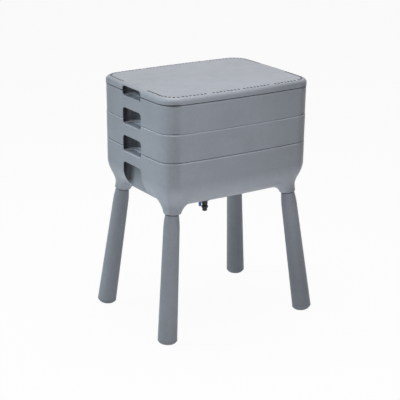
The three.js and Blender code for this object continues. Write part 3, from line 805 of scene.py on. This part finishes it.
LEVER_THICKNESS = 5 * MM
LEVER_HUB = 6.4 * MM
LEVER_TIP = 4.5 * MM
LEVER_LENGTH = 18.5 * MM
LEVER_EDGE = 1.1 * MM
LEVER_CAP = 1.2 * MM
SPINDLE_RADIUS = 3.4 * MM
STRAINER_RADIUS = 23 * MM
STRAINER_HEIGHT = 17 * MM
STRAINER_WALL = 2 * MM
STRAINER_SLOTS = 20
STRAINER_SLOT = 2.6 * MM
STRAINER_MARGIN = 4 * MM

AT_BOSS = Matrix.Translation((0, 0, BOSS_HEIGHT))
AT_VALVE = Matrix.Translation((0, 0, BOSS_HEIGHT - VALVE_DROP))
ALONG_LEFT = AT_VALVE @ Matrix.Rotation(-pi / 2, 4, "Y")


def tap_body(name):
    """The tap: shank, flange, neck, round valve with its barrel, waist and nozzle."""
    flange_low = FLANGE_TOP - FLANGE_THICKNESS
    turns = [pi * (step / VALVE_STEPS - 0.5) for step in range(1, VALVE_STEPS)]
    pairs = rounded_pairs([
        (SMALLEST, -NOZZLE_DROP), (NOZZLE_RADIUS, -NOZZLE_DROP, 2 * TAP_EDGE),
        (NOZZLE_RADIUS, -RIB_DROP - NOZZLE_LIP, TAP_EDGE),
        (WAIST_RADIUS, -RIB_DROP), (WAIST_RADIUS, -WAIST_DROP),
        (OUTLET_BULGE, -OUTLET_DROP - 3 * NOZZLE_LIP, 2 * TAP_EDGE), (OUTLET_BULGE, -OUTLET_DROP),
        *[(max(VALVE_RADIUS * cos(a), THROAT_RADIUS), VALVE_RADIUS * sin(a) - VALVE_DROP) for a in turns],
        (THROAT_RADIUS, flange_low, TAP_EDGE), (FLANGE_RADIUS, flange_low, TAP_EDGE),
        (FLANGE_RADIUS, FLANGE_TOP, TAP_EDGE), (SHANK_RADIUS, FLANGE_TOP),
        (SHANK_RADIUS, SHANK_TOP, TAP_EDGE), (SMALLEST, SHANK_TOP),
    ])
    body = turned(name, pairs, TAP_STEPS, AT_BOSS)
    sleeve = PLUG_RADIUS + PLUG_GAP + SLEEVE_WALL
    back = -PLUG_HALF - PLUG_GAP
    barrel = disc_pairs(SMALLEST, sleeve, back - SLEEVE_WALL, VALVE_END, 2 * TAP_EDGE, TAP_EDGE)
    joined(body, turned("barrel", barrel, TAP_STEPS, ALONG_LEFT))
    cavity = [(PLUG_RADIUS + PLUG_GAP, back), (PLUG_RADIUS + PLUG_GAP, VALVE_END + OVER)]
    bore = [(TAP_BORE, -NOZZLE_DROP - OVER), (TAP_BORE, SHANK_TOP + OVER)]
    cut(body, turned("bore", bore, TAP_STEPS, AT_BOSS))
    return cut(body, turned("cavity", cavity, TAP_STEPS, ALONG_LEFT))


def hose_collar(name):
    """The ring above the nozzle, with upright ribs round it."""
    low = -(RIB_DROP + WAIST_DROP + RIB_LENGTH) / 2
    pairs = disc_pairs(WAIST_RADIUS + THREAD_GAP, RIB_RADIUS, low, low + RIB_LENGTH, TAP_EDGE, TAP_EDGE)
    ring = turned(name, pairs, 2 * TAP_STEPS, AT_BOSS, ringed=True)
    width = pi * RIB_RADIUS / RIB_COUNT
    length = RIB_LENGTH - 4 * TAP_EDGE
    bpy.ops.mesh.primitive_cylinder_add(vertices=RIB_SIDES, radius=width / 2, depth=length)
    bpy.ops.object.mode_set(mode="EDIT")
    bpy.ops.mesh.select_all(action="SELECT")
    bpy.ops.mesh.bevel(offset=TAP_EDGE / 3, segments=2, affect="EDGES")
    bpy.ops.object.mode_set(mode="OBJECT")
    rib = bpy.context.object
    rib.data.transform(Matrix.Translation((RIB_RADIUS + RIB_DEPTH - width / 2, 0, 0)))
    rib.select_set(False)
    middle = AT_BOSS @ Matrix.Translation((0, 0, low + RIB_LENGTH / 2))
    return joined(ring, repeated(rib, "rib", spun(middle, RIB_COUNT)))


def washer(name):
    """The seal between the tap's flange and the boss."""
    inner = SHANK_RADIUS + THREAD_GAP
    low = FLANGE_TOP + THREAD_GAP
    pairs = disc_pairs(inner, inner + WASHER_WIDTH, low, low + WASHER_THICKNESS, TAP_EDGE, TAP_EDGE)
    return turned(name, pairs, TAP_STEPS, AT_BOSS, ringed=True)


def lever_ring(inset, depth):
    """The lever's outline at a depth along its spindle: a round hub running down into a round tip."""
    hub, tip = LEVER_HUB - inset, LEVER_TIP - inset
    lean = atan2(hub - tip, LEVER_LENGTH)
    upper = arc((0, 0), hub, -lean, pi + lean, 2 * CORNER_STEPS)
    lower = arc((0, -LEVER_LENGTH), tip, pi + lean, 2 * pi - lean, CORNER_STEPS)
    return [AT_VALVE @ Vector((-depth, y, z)) for y, z in upper + lower]


def lever(name):
    """The blue lever: a flat arm hanging from a round hub, with a raised cap on the spindle."""
    outer = LEVER_FACE + LEVER_THICKNESS
    pairs = profile(LEVER_FACE, outer, LEVER_EDGE, LEVER_EDGE)
    arm = lofted(name, [lever_ring(inset, depth) for inset, depth in pairs])
    cap = rounded_pairs([
        (SMALLEST, LEVER_FACE + LEVER_EDGE), (LEVER_TIP, LEVER_FACE + LEVER_EDGE),
        (LEVER_TIP, outer + LEVER_CAP, TAP_EDGE), (SMALLEST, outer + LEVER_CAP),
    ])
    joined(arm, turned("cap", cap, TAP_STEPS, ALONG_LEFT))
    bore = SPINDLE_RADIUS + THREAD_GAP
    socket = [(bore, LEVER_FACE - OVER), (bore, outer + THREAD_GAP)]
    return cut(arm, turned("socket", socket, TAP_STEPS, ALONG_LEFT))


def strainer(name):
    """The slotted cap over the outlet, inside the base."""
    low = WALL + THREAD_GAP
    high = low + STRAINER_HEIGHT
    shell = disc_pairs(SMALLEST, STRAINER_RADIUS, low, high, TAP_EDGE, STRAINER_WALL)
    inside = STRAINER_RADIUS - STRAINER_WALL
    hollow = [(inside, low - OVER), (inside, high - STRAINER_WALL)]
    cup = turned(name, shell, SUMP_STEPS, AT_BOSS)
    cut(cup, turned("hollow", hollow, SUMP_STEPS, AT_BOSS))
    size = (2 * STRAINER_WALL, STRAINER_SLOT, STRAINER_HEIGHT - 2 * STRAINER_MARGIN)
    slot = block(size, (inside, 0, (low + high) / 2))
    return cut(cup, repeated(slot, "slot", spun(AT_BOSS, STRAINER_SLOTS)))


# Materials: shader values that add up and multiply as numbers do

class Value:
    """One output of a shader tree."""

    def __init__(self, paint, socket):
        self.paint, self.socket = paint, socket

    def math(self, operation, first, second):
        return self.paint.node("Math", {0: first, 1: second}, operation=operation)

    def __add__(self, other):
        return self.math("ADD", self, other)

    def __sub__(self, other):
        return self.math("SUBTRACT", self, other)

    def __rsub__(self, other):
        return self.math("SUBTRACT", other, self)

    def __mul__(self, other):
        return self.math("MULTIPLY", self, other)

    __radd__, __rmul__ = __add__, __mul__

    def size(self):
        return self.math("ABSOLUTE", self, 0)

    def held(self, low, high):
        return self.math("MAXIMUM", self.math("MINIMUM", self, high), low)

    def span(self, low, high, start=0.0, end=1.0):
        """The value between two levels, spread from a start to an end."""
        inputs = {"Value": self, "From Min": low, "From Max": high, "To Min": start, "To Max": end}
        return self.paint.node("MapRange", inputs, "Result", clamp=True)

    def between(self, start, full, fade, end):
        """1 from full to fade, and 0 before the start and past the end."""
        return self.span(start, full) * self.span(end, fade)


class Paint:
    """A procedural material under construction, or the studio's world."""

    def __init__(self, owner):
        self.owner = owner
        owner.use_nodes = True
        self.tree = owner.node_tree
        self.tree.nodes.clear()

    def node(self, kind, inputs, output=0, **settings):
        """A node with its settings made first, then its sockets filled with values or links."""
        node = self.tree.nodes.new("ShaderNode" + kind)
        for name, value in settings.items():
            setattr(node, name, value)
        for name, value in inputs.items():
            if isinstance(value, Value):
                self.tree.links.new(value.socket, node.inputs[name])
            else:
                node.inputs[name].default_value = value
        return Value(self, node.outputs[output])

    def place(self):
        return self.node("TexCoord", {}, "Object")

    def facing(self):
        return self.node("TexCoord", {}, "Normal")

    def axes(self, vector):
        return [self.node("SeparateXYZ", {"Vector": vector}, axis) for axis in "XYZ"]

    def noise(self, where, scale, detail, roughness):
        inputs = {"Vector": where, "Scale": scale, "Detail": detail, "Roughness": roughness}
        return self.node("TexNoise", inputs, "Fac")

    def cells(self, where, scale):
        return self.node("TexVoronoi", {"Vector": where, "Scale": scale}, "Distance")

    def mixed(self, factor, first, second):
        colours = [(*colour, 1) if isinstance(colour, tuple) else colour for colour in (first, second)]
        return self.node("Mix", {0: factor, 6: colours[0], 7: colours[1]}, 2, data_type="RGBA")

    def scaled(self, colour, factor):
        return self.node("VectorMath", {"Vector": colour, "Scale": factor}, operation="SCALE")

    def bump(self, height, distance):
        return self.node("Bump", {"Height": height, "Distance": distance}, "Normal")

    def surface(self, shader, output="Material"):
        end = self.tree.nodes.new("ShaderNodeOutput" + output)
        self.tree.links.new(shader.socket, end.inputs["Surface"])
        return self.owner

    def seen_white(self):
        """1 where the camera, a mirror image or a clear piece looks, and 0 for the light on things."""
        camera, gloss, clear = [
            self.node("LightPath", {}, f"Is {kind} Ray") for kind in ("Camera", "Glossy", "Transmission")
        ]
        return (camera + gloss + clear).held(0, 1)

    def plastic(self, colour, roughness, normal):
        inputs = {"Base Color": colour, "Roughness": roughness, "Normal": normal}
        return self.surface(self.node("BsdfPrincipled", inputs))


# Painted light and shade by place, as shares of the plastic's own tone. Facings run from -1 to 1.
# A band's four levels are where it rises from, holds from, holds to and falls to.

ROUND_CORNER = (0.08, 0.33, 0.5, 0.8)
LID_ROUND = (0.1, 0.3, 0.88, 0.98)
RIM_BAND = (-4 * MM, -2.4 * MM, 0.2 * MM, 0.4 * MM)
LEDGE_BAND = (-2.6 * MM, -1.8 * MM, 0.4 * MM, 1 * MM)
HOLD_BAND = (2.8 * MM, 3.8 * MM, HOLD_DEPTH + 3 * MM, HOLD_DEPTH + 5 * MM)
HOLD_TOP = UPPER_RIM + LID_NOTCH
HOLD_RISE = (BASE_RIM - 120 * MM, BASE_RIM - 100 * MM, HOLD_TOP, HOLD_TOP + 1 * MM)
VENT_INSIDE = (LID_TOP - 6.6 * MM, LID_TOP - 6.2 * MM)
DEEPEST = 0.97
DEEP_SHADE = (0.004, 0.009, 0.018)


class Spot:
    """A point of the stack: its place, its facing, and how it lies to the next seam and the hand-holds."""

    def __init__(self, paint, where):
        self.x, self.y, self.z = paint.axes(where)
        self.end, self.side, self.up = paint.axes(paint.facing())
        tier = self.z.math("ROUND", (self.z - BASE_RIM) * (1 / TRAY_PITCH), 0).held(0, 2)
        self.over = self.z - BASE_RIM - tier * TRAY_PITCH
        self.outer_seam, self.lid_seam = (tier - 1).size(), tier.span(1, 2)
        self.corner = self.end.size().between(*ROUND_CORNER)
        self.upright_corner = self.corner * self.up.size().span(0.4, 0.2)
        self.behind, self.across = HALF_LENGTH - self.x.size(), self.y.size()
        self.within, self.below = HOLD_HALF - self.across, BASE_RIM - self.z


def rim_highlight(at):
    """Painted highlight on the rims, most at the outer seams and on the corners of the middle one."""
    share = 0.8 + at.outer_seam * 0.3 + at.corner * (0.6 - at.outer_seam * 1.2 - at.lid_seam * 1.2)
    return at.over.between(*RIM_BAND) * at.up.span(0.1, 0.6, 0.25, 1) * share


def seam_shade(at):
    """Darker on the foot of what stands on a rim."""
    share = at.outer_seam * 0.55 + at.lid_seam * 0.4 + at.corner * (1 - at.outer_seam) * 0.6
    top = (at.over - at.upright_corner * 1.2 * MM).span(3.6 * MM, 2.6 * MM)
    return at.over.span(0.1 * MM, 0.4 * MM) * top * at.up.span(0.3, 0.1) * share


def vent_shade(at):
    """Dark inside the vents, less so on the far side."""
    return at.z.span(*VENT_INSIDE) * at.up.size().span(0.7, 0.5) * at.y.span(-20 * MM, 100 * MM, 0.96, 0.45)


def hold_shades(at):
    """In the hand-holds: how much paler the lit floor is, and how deep the shade on the rest."""
    hold = at.behind.between(*HOLD_BAND) * at.z.between(*HOLD_RISE) * at.within.span(-2 * MM, -1 * MM)
    back, cheek = (at.x * at.end).span(0.02, 0.08), (at.y * at.side).span(-0.002, -0.02)
    roof, floor = at.up.span(-0.2, -0.5), at.up.span(0.3, 0.7)
    dark = back * 0.86 + cheek * 0.97 + roof * 0.9 + at.lid_seam * floor * 0.8
    lip = at.over - 1 * MM + at.across * 0.16
    lip = lip + (HOLD_DEPTH - at.behind) * at.across.span(42 * MM, 48 * MM, 0, 0.14)
    slant = (at.y - at.behind * 1.2).span(-5 * MM, -50 * MM, 0, 20 * MM)
    lip = lip + at.lid_seam * (slant + floor * (at.behind - HOLD_DEPTH) * 0.5)
    lit = lip.span(0.6 * MM, -0.6 * MM)
    groove = at.over.span(-2 * NOTCH_DEPTH, -3 * NOTCH_DEPTH)
    sides = at.within.span(18 * MM, 6 * MM)
    dark = dark.held(0, DEEPEST) * (1 - lit * (1 - groove * sides))
    dark = dark + (1 - dark) * groove * at.below.span(110 * MM, 50 * MM, 0, 0.5)
    pale = lit * (1 - groove) * floor * at.y.span(40 * MM, 15 * MM, 0.9, 1.5)
    return hold * pale, hold * dark


def ledge_highlight(at):
    """Painted highlight along the rounded edge at the mouth of each hand-hold, less at the lid's seam."""
    edge = (at.over + NOTCH_DEPTH).between(*LEDGE_BAND) * at.up.span(0.1, 0.4)
    edge = edge * at.behind.span(4.5 * MM, 3.5 * MM) * at.within.span(-3 * MM, -1 * MM)
    return edge * (0.9 - at.lid_seam * 0.45)


def painted_light_drift(at):
    """Painted light and shade changing slowly over the short side, the long side, the lid's top and its
    round edge.
    """
    short_side = at.z.span(UPPER_RIM, BASE_RIM, 0.03, 0.14) - at.y.span(-60 * MM, 130 * MM, 0, 0.2)
    long_side = at.x.span(50 * MM, 220 * MM, 0, 0.1)
    change = at.end.span(-0.7, -0.9) * short_side - at.side.span(-0.7, -0.9) * long_side
    top = at.up.span(0.4, 0.8) * at.y.span(20 * MM, -130 * MM, 0, 0.08)
    long_edge = at.side.span(-0.2, -0.5) * at.x.span(170 * MM, -20 * MM, -0.18, 0.16)
    short_edge = at.end.span(-0.2, -0.5) * at.y.span(0, 130 * MM, 0.08, -0.14)
    edges = at.up.between(*LID_ROUND) * (long_edge + short_edge)
    return change + at.over.span(8 * MM, 10 * MM) * (top + edges)


def stacked_shades(paint, where, base):
    """The stacked pieces' colour with all its painted light and shade, and deep painted shade in the
    hand-holds.
    """
    at = Spot(paint, where)
    pale, dark = hold_shades(at)
    # Painted light from the floor on the base's downward-facing lower belly, and painted shade on the
    # upright rounded corners.
    belly_bounce_light = at.up.span(-0.05, -0.45) * at.below.span(50 * MM, 70 * MM)
    corner = at.upright_corner * at.below.span(90 * MM, 40 * MM)
    tone = (1 + belly_bounce_light * 0.24) * (1 - corner * 0.18) * (1 + painted_light_drift(at))
    tone = tone * (1 + rim_highlight(at)) * (1 - seam_shade(at)) * (1 - vent_shade(at))
    tone = tone * (1 + pale) * (1 + ledge_highlight(at))
    return paint.mixed(dark, paint.scaled(base, tone), DEEP_SHADE)


def leg_shades(paint, where, base):
    """The legs' colour, with a painted shadow in the joint under the collar and painted light and shade low
    down.
    """
    x, y, z = paint.axes(where)
    below = COLLAR_HEIGHT - z - (COLLAR_X + COLLAR_Y - x.size() - y.size()) * SPLAY_SHARE
    # Painted light and shade on the lower legs: lighter on the left legs, darker on the right.
    low_light_and_shade = x.span(-100 * MM, 100 * MM, 0.06, -0.18) + y.span(-100 * MM, 100 * MM, -0.04, 0.04)
    tone = (1 + z.span(300 * MM, 100 * MM) * low_light_and_shade) * (1 - below.span(4 * MM, 2.4 * MM) * 0.7)
    return paint.scaled(base, tone)


# Patterns of the plastics, in turns a metre
CLOUDS, MOTTLE, SPECKLE, PORES, TEXTURE, HANDLING = 11, 110, 700, 1500, 950, 35
FLOW, BLOOM, FINE_TEXTURE = 60, 240, 900
GRAIN, FINE_GRAIN = 0.04 * MM, 0.03 * MM


def two_tones(paint, factor, colour, share):
    """The colour a share darker to a share lighter."""
    first, second = [tuple(channel * tone for channel in colour) for tone in (1 - share, 1 + share)]
    return paint.mixed(factor, first, second)


def moulded(name, colour, roughness, shades=None):
    """Matt moulded plastic: a fine spark-eroded grain, slow changes of tone and faint handling marks."""
    paint = Paint(bpy.data.materials.new(name))
    where = paint.place()
    tint = paint.noise(where, CLOUDS, 3, 0.55) * 0.45 + paint.noise(where, MOTTLE, 2, 0.6) * 0.35
    tint = tint + paint.noise(where, SPECKLE, 2, 0.7) * 0.2
    base = two_tones(paint, tint.span(0.36, 0.64), colour, 0.07)
    if shades:
        base = shades(paint, where, base)
    marks = paint.noise(where, HANDLING, 4, 0.6)
    height = paint.noise(where, TEXTURE, 3, 0.6) + paint.cells(where, PORES) * 0.5
    rough = marks.span(0.3, 0.7, roughness - 0.05, roughness + 0.06)
    return paint.plastic(base, rough, paint.bump(height, GRAIN))


def satin(name, colour, roughness):
    """Smoother injection moulding with faint flow lines and a light bloom."""
    paint = Paint(bpy.data.materials.new(name))
    where = paint.place()
    base = two_tones(paint, paint.noise(where, FLOW, 3, 0.5).span(0.3, 0.7), colour, 0.08)
    rough = paint.noise(where, BLOOM, 3, 0.6).span(0.3, 0.7, roughness - 0.06, roughness + 0.08)
    return paint.plastic(base, rough, paint.bump(paint.noise(where, FINE_TEXTURE, 2, 0.5), FINE_GRAIN))


SHELL_COLOUR = (0.335, 0.354, 0.398)
SHELL_PLASTIC = moulded("shell_plastic", SHELL_COLOUR, 0.46, stacked_shades)
LID_PLASTIC = moulded("lid_plastic", SHELL_COLOUR, 0.46, stacked_shades)
LEG_PLASTIC = moulded("leg_plastic", (0.28, 0.296, 0.336), 0.48, leg_shades)
CAP_PLASTIC = moulded("cap_plastic", (0.262, 0.278, 0.318), 0.56)
TAP_PLASTIC = satin("tap_plastic", (0.012, 0.012, 0.014), 0.38)
LEVER_PLASTIC = satin("lever_plastic", (0.03, 0.125, 0.42), 0.34)
SEAL_RUBBER = satin("seal_rubber", (0.015, 0.015, 0.015), 0.75)
STRAINER_PLASTIC = satin("strainer_plastic", (0.04, 0.043, 0.048), 0.5)


# Putting the pieces on the frame

finished(lid("lid_shell"), "lid", "lid", LID_PLASTIC)
finished(tray("upper_tray_shell", LOWER_RIM), "upper_tray", "upper_tray", SHELL_PLASTIC)
finished(tray("lower_tray_shell", BASE_RIM), "lower_tray", "lower_tray", SHELL_PLASTIC)
finished(base("base_shell"), "base", "base_bin", SHELL_PLASTIC)
for corner, sides in CORNERS.items():
    stand = leg_frame(*sides)
    finished(leg(f"leg_{corner}_shaft", stand), "base", f"leg_{corner}", LEG_PLASTIC)
    finished(foot_cap(f"cap_{corner}_foot", stand), "base", f"cap_{corner}", CAP_PLASTIC)
finished(tap_body("tap_body_turned"), "base", "tap_body", TAP_PLASTIC, 40)
finished(hose_collar("tap_collar_ribbed"), "base", "tap_hose_collar", TAP_PLASTIC)
finished(washer("tap_seal_ring"), "base", "tap_washer_outer", SEAL_RUBBER)
finished(lever("tap_lever"), "tap_key", "tap_handle", LEVER_PLASTIC)
finished(strainer("strainer_cup"), "base", "drain_strainer", STRAINER_PLASTIC)

HIDDEN_NODES = {
    "tap_back_nut": TAP_PLASTIC,
    "tap_bonnet": TAP_PLASTIC,
    "tap_plug": TAP_PLASTIC,
    "tap_spindle_ring": SEAL_RUBBER,
    "tap_washer_inner": SEAL_RUBBER,
}
for node, finish in HIDDEN_NODES.items():
    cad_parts[node].data.materials.clear()
    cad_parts[node].data.materials.append(finish)


# Floor, light and camera

FLOOR_SIZE = 40.0
FLOOR_WHITE = 0.95
FLOOR_COLOUR = (0.92, 0.92, 0.92, 1)
WHITE = (1, 1, 1, 1)
WORLD_LIGHT = 0.03
LIGHT_TARGET = Vector((0, 0, 0.5))


def pale_floor():
    """A pale floor that the camera sees nearly white, with the object's shadow on it."""
    paint = Paint(bpy.data.materials.new("pale_floor"))
    plain = paint.node("BsdfDiffuse", {"Color": FLOOR_COLOUR})
    white = paint.node("Emission", {"Color": WHITE, "Strength": 1.0})
    share = paint.seen_white() * FLOOR_WHITE
    return paint.surface(paint.node("MixShader", {0: share, 1: plain, 2: white}))


def floor():
    bpy.ops.mesh.primitive_plane_add(size=FLOOR_SIZE)
    plane = bpy.context.object
    plane.name = "floor"
    plane.data.materials.append(pale_floor())
    plane.select_set(False)


def studio():
    """A dim studio whose walls are seen white."""
    paint = Paint(bpy.data.worlds.new("studio"))
    strength = paint.seen_white() * (1 - WORLD_LIGHT) + WORLD_LIGHT
    walls = paint.node("Background", {"Color": WHITE, "Strength": strength})
    bpy.context.scene.world = paint.surface(walls, "World")


def hung(data, place, ahead, roll=0.0):
    """A lamp or the camera at its place, looking ahead, level but for a roll."""
    thing = bpy.data.objects.new(data.name, data)
    bpy.context.scene.collection.objects.link(thing)
    thing.location = place
    thing.rotation_mode = "QUATERNION"
    level = ahead.to_track_quat("-Z", "Y")
    thing.rotation_quaternion = level @ Matrix.Rotation(radians(roll), 3, "Z").to_quaternion()
    return thing


def softbox(name, place, width, height, power, colour=(1, 1, 1)):
    light = bpy.data.lights.new(name, "AREA")
    light.shape = "RECTANGLE"
    light.size, light.size_y = width, height
    light.energy = power
    light.color = colour
    hung(light, place, LIGHT_TARGET - Vector(place)).visible_camera = False


# The photograph's viewpoint, in degrees, metres and pixels of its 400 by 400 frame
VIEW_AZIMUTH = -32.94
VIEW_ELEVATION = 18.499
VIEW_ROLL = 0.523
VIEW_DISTANCE = 3.66672
VIEW_TARGET = Vector((-0.011495, 0.007378, 0.335829))
VIEW_FOCUS = 1241.45
VIEW_MIDDLE = (200.15, 199.25)
PHOTO_SIZE = 400


def camera():
    turn, rise = radians(VIEW_AZIMUTH), radians(VIEW_ELEVATION)
    back = Vector((sin(turn) * cos(rise), -cos(turn) * cos(rise), sin(rise)))
    data = bpy.data.cameras.new("photo_view")
    data.lens = data.sensor_width * VIEW_FOCUS / PHOTO_SIZE
    data.shift_x = (PHOTO_SIZE / 2 - VIEW_MIDDLE[0]) / PHOTO_SIZE
    data.shift_y = (VIEW_MIDDLE[1] - PHOTO_SIZE / 2) / PHOTO_SIZE
    bpy.context.scene.camera = hung(data, VIEW_TARGET + back * VIEW_DISTANCE, -back, VIEW_ROLL)


floor()
studio()
softbox("overhead", (0, 0.1, 2.8), 1.7, 1.7, 42)
softbox("low_left", (-2.25, 1.3, 1.1), 1.2, 1.6, 23, (0.76, 0.93, 1))
softbox("near_front", (-0.49, -1.2, 0.8), 1.5, 0.9, 6.3, (0.95, 0.98, 1))
camera()
bpy.context.scene.view_settings.view_transform = "Standard"
